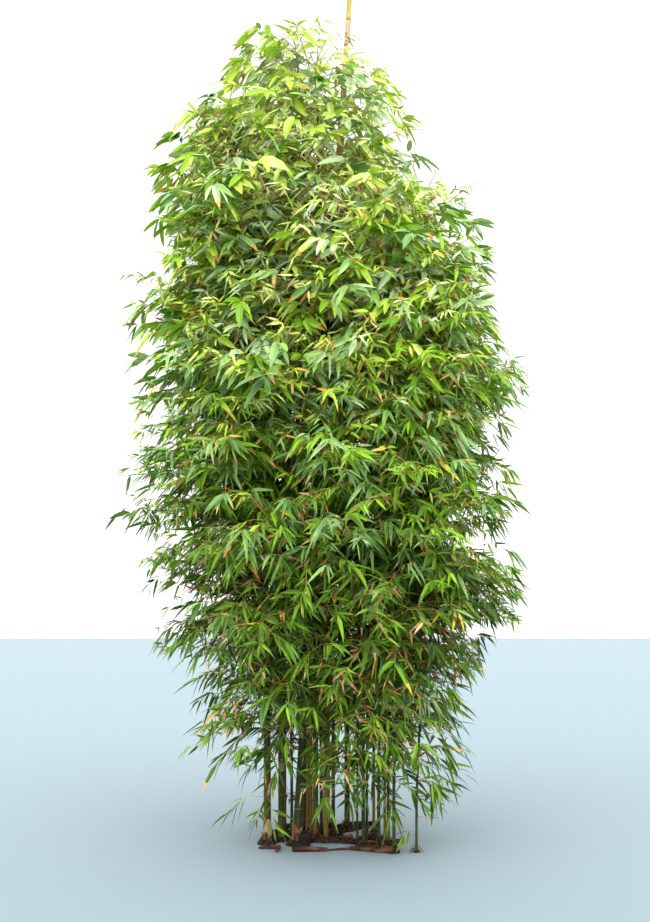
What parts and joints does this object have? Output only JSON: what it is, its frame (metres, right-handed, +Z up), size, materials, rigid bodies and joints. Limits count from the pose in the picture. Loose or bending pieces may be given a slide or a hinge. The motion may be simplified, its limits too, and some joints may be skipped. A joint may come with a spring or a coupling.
{
  "type": "bamboo clump",
  "caption": "Tall clump of giant timber bamboo rooted in the ground, with leafy arching culms, a low woody root crown and a bare new shoot rising past its leaves.",
  "frame": {"origin": "middle of the main culm's flat cut at ground level", "axes": "+Z up, +X to the right of a person who looks at the clump along +Y"},
  "size_m": [2.934, 2.8781, 7.2],
  "materials": {
    "culm_olive": "smooth olive green culm with pale rings under its nodes",
    "culm_green": "smooth green culm",
    "culm_golden": "smooth golden culm with a tinge of green",
    "culm_grey": "waxy grey-green culm that turns straw-coloured towards its new tip",
    "rhizome": "rough brown root crown and stumps",
    "foliage": "soft green leaves on thin green and brown twigs"
  },
  "bodies": {
    "root": {"culm_left_1": "culm_olive", "culm_left_2": "culm_olive", "culm_middle_1": "culm_green", "culm_main": "culm_grey", "culm_middle_2": "culm_golden", "culm_middle_3": "culm_golden", "culm_middle_4": "culm_olive", "culm_middle_5": "culm_green", "culm_middle_6": "culm_golden", "culm_middle_7": "culm_olive", "culm_right_1": "culm_green", "culm_right_2": "culm_green", "culm_right_3": "culm_green", "culm_right_4": "culm_golden", "culm_right_5": "culm_green", "culm_right_6": "culm_golden", "culm_right_7": "culm_olive", "culm_right_8": "culm_green", "culm_right_9": "culm_green", "culm_back_1": "culm_olive", "culm_back_2": "culm_olive", "culm_back_3": "culm_golden", "culm_back_4": "culm_olive", "culm_back_5": "culm_green", "root_crown": "rhizome", "foliage_01": "foliage", "foliage_02": "foliage", "foliage_03": "foliage", "foliage_04": "foliage", "foliage_05": "foliage", "foliage_06": "foliage", "foliage_07": "foliage", "foliage_08": "foliage", "foliage_09": "foliage", "foliage_10": "foliage", "foliage_11": "foliage", "foliage_12": "foliage", "foliage_13": "foliage", "foliage_14": "foliage", "foliage_15": "foliage", "foliage_16": "foliage", "foliage_17": "foliage", "foliage_18": "foliage", "foliage_19": "foliage", "foliage_20": "foliage", "foliage_21": "foliage", "foliage_22": "foliage", "foliage_23": "foliage", "foliage_24": "foliage", "foliage_25": "foliage", "foliage_26": "foliage", "foliage_27": "foliage", "foliage_28": "foliage", "foliage_29": "foliage", "foliage_30": "foliage", "foliage_31": "foliage", "foliage_32": "foliage", "foliage_33": "foliage"}
  },
  "joints": []
}
